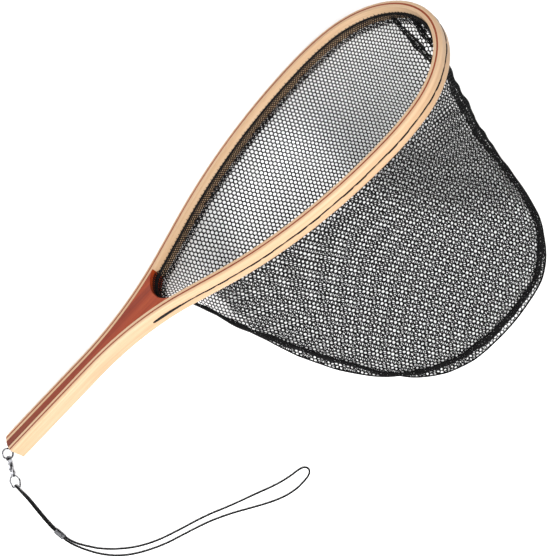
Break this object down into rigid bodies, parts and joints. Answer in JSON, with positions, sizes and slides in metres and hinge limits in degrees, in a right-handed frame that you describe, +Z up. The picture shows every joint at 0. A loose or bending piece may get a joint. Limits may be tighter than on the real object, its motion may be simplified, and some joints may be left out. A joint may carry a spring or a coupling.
{
  "type": "landing net",
  "caption": "Landing net with a laminated wooden hoop and handle, a black mesh bag and a wrist lanyard on a snap hook, lying with its bag opened out.",
  "frame": {"origin": "on the ground, below the middle of the net's bounding box without the lanyard", "axes": "+X along the handle towards the tip of the hoop, +Z up, -Y towards the raised flank and the bag"},
  "size_m": [0.6024, 0.3372, 0.164],
  "materials": {
    "pale_wood": "satin lacquer",
    "accent_wood": "satin lacquer",
    "core_wood": "satin lacquer",
    "black_cord": "braided nylon",
    "net_mesh": "knitted nylon mesh",
    "plated_steel": "polished",
    "crimp_metal": "satin"
  },
  "bodies": {
    "net": {"outer_lamination": "pale_wood", "inner_lamination": "pale_wood", "accent_lamination": "accent_wood", "handle_core": "core_wood", "lacing_cord": "black_cord", "lacing_stitches": "black_cord", "net_headrope": "black_cord", "net_seam": "black_cord", "net_lower_panel": "net_mesh", "net_upper_panel": "net_mesh", "screw_eye": "plated_steel"},
    "clasp": {"clasp_body": "plated_steel", "gate_pin": "plated_steel", "gate_spring": "plated_steel"},
    "gate": {"clasp_gate": "plated_steel"},
    "swivel": {"swivel_eye": "plated_steel", "lanyard_lead": "black_cord", "crimp_sleeve": "crimp_metal", "wrist_loop": "black_cord"}
  },
  "joints": [
    {"name": "clasp_swing", "type": "hinge", "parent": "net", "child": "clasp", "pos_m": [-0.2789, 0.09528, 0.01171], "axis": [-0.8192, 0.5736, 0], "range_deg": [-50, 80]},
    {"name": "gate_open", "type": "hinge", "parent": "clasp", "child": "gate", "pos_m": [-0.28505, 0.08649, 0.01218], "axis": [-0.8192, 0.5736, 0], "range_deg": [0, 15], "stiffness_Nm_per_rad": 0.01, "springref_deg": -28.65},
    {"name": "swivel_turn", "type": "hinge", "parent": "clasp", "child": "swivel", "pos_m": [-0.28726, 0.08333, 0.00801], "axis": [-0.5429, -0.7754, -0.3226], "continuous": true}
  ]
}
